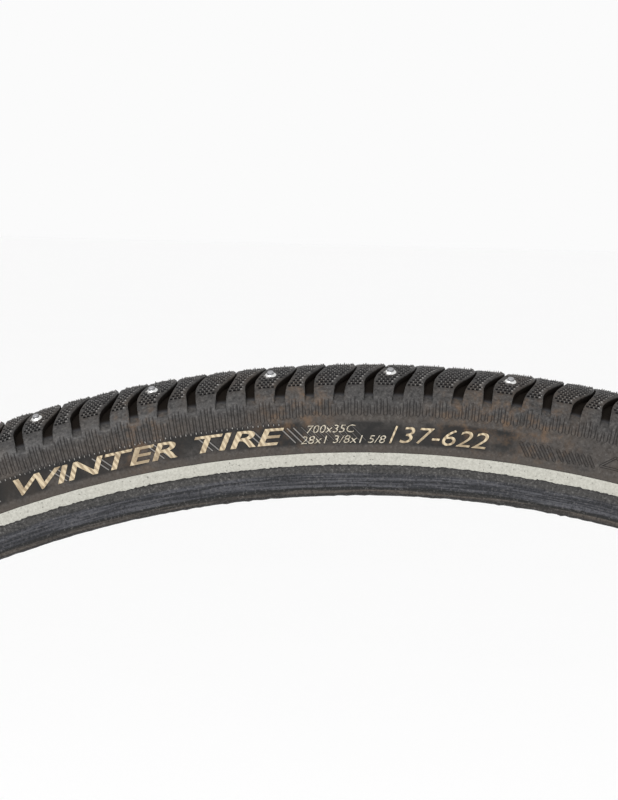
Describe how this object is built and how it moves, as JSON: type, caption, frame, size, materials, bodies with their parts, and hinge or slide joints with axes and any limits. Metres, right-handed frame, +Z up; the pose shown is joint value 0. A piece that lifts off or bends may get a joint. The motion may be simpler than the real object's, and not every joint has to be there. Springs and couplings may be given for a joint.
{
  "type": "bicycle tire",
  "caption": "Studded winter bicycle tyre with a chevron block tread, carbide studs on both shoulders, reflective sidewall bands and wire beads.",
  "frame": {"origin": "the wheel's centre, on the axle line, midway between the beads", "axes": "+Y along the axle, the printed side faces -Y; +Z up; the chevron tread rolls towards +X"},
  "size_m": [0.7, 0.037, 0.7],
  "materials": {
    "tread_rubber": "matte",
    "wall_rubber": "matte",
    "filler_rubber": "matte",
    "reflective_film": "retroreflective satin",
    "chafer_fabric": "rubberised weave",
    "casing_fabric": "rubberised cord",
    "breaker_fabric": "dense weave",
    "bead_wire": "bronze-coated drawn wire",
    "stud_steel": "zinc-plated, worn bright",
    "carbide": "sintered, satin"
  },
  "bodies": {
    "root": {"tread": "tread_rubber", "puncture_breaker": "breaker_fabric", "carcass_ply": "casing_fabric", "sidewall_right": "wall_rubber", "sidewall_left": "wall_rubber", "reflective_strip_right": "reflective_film", "reflective_strip_left": "reflective_film", "rim_strip_right": "chafer_fabric", "rim_strip_left": "chafer_fabric", "bead_filler_right": "filler_rubber", "bead_filler_left": "filler_rubber", "bead_wrap_right": "filler_rubber", "bead_wrap_left": "filler_rubber", "bead_core_right": "bead_wire", "bead_core_left": "bead_wire", "stud_bodies_right": "stud_steel", "stud_bodies_left": "stud_steel", "stud_pins_right": "carbide", "stud_pins_left": "carbide"}
  },
  "joints": []
}
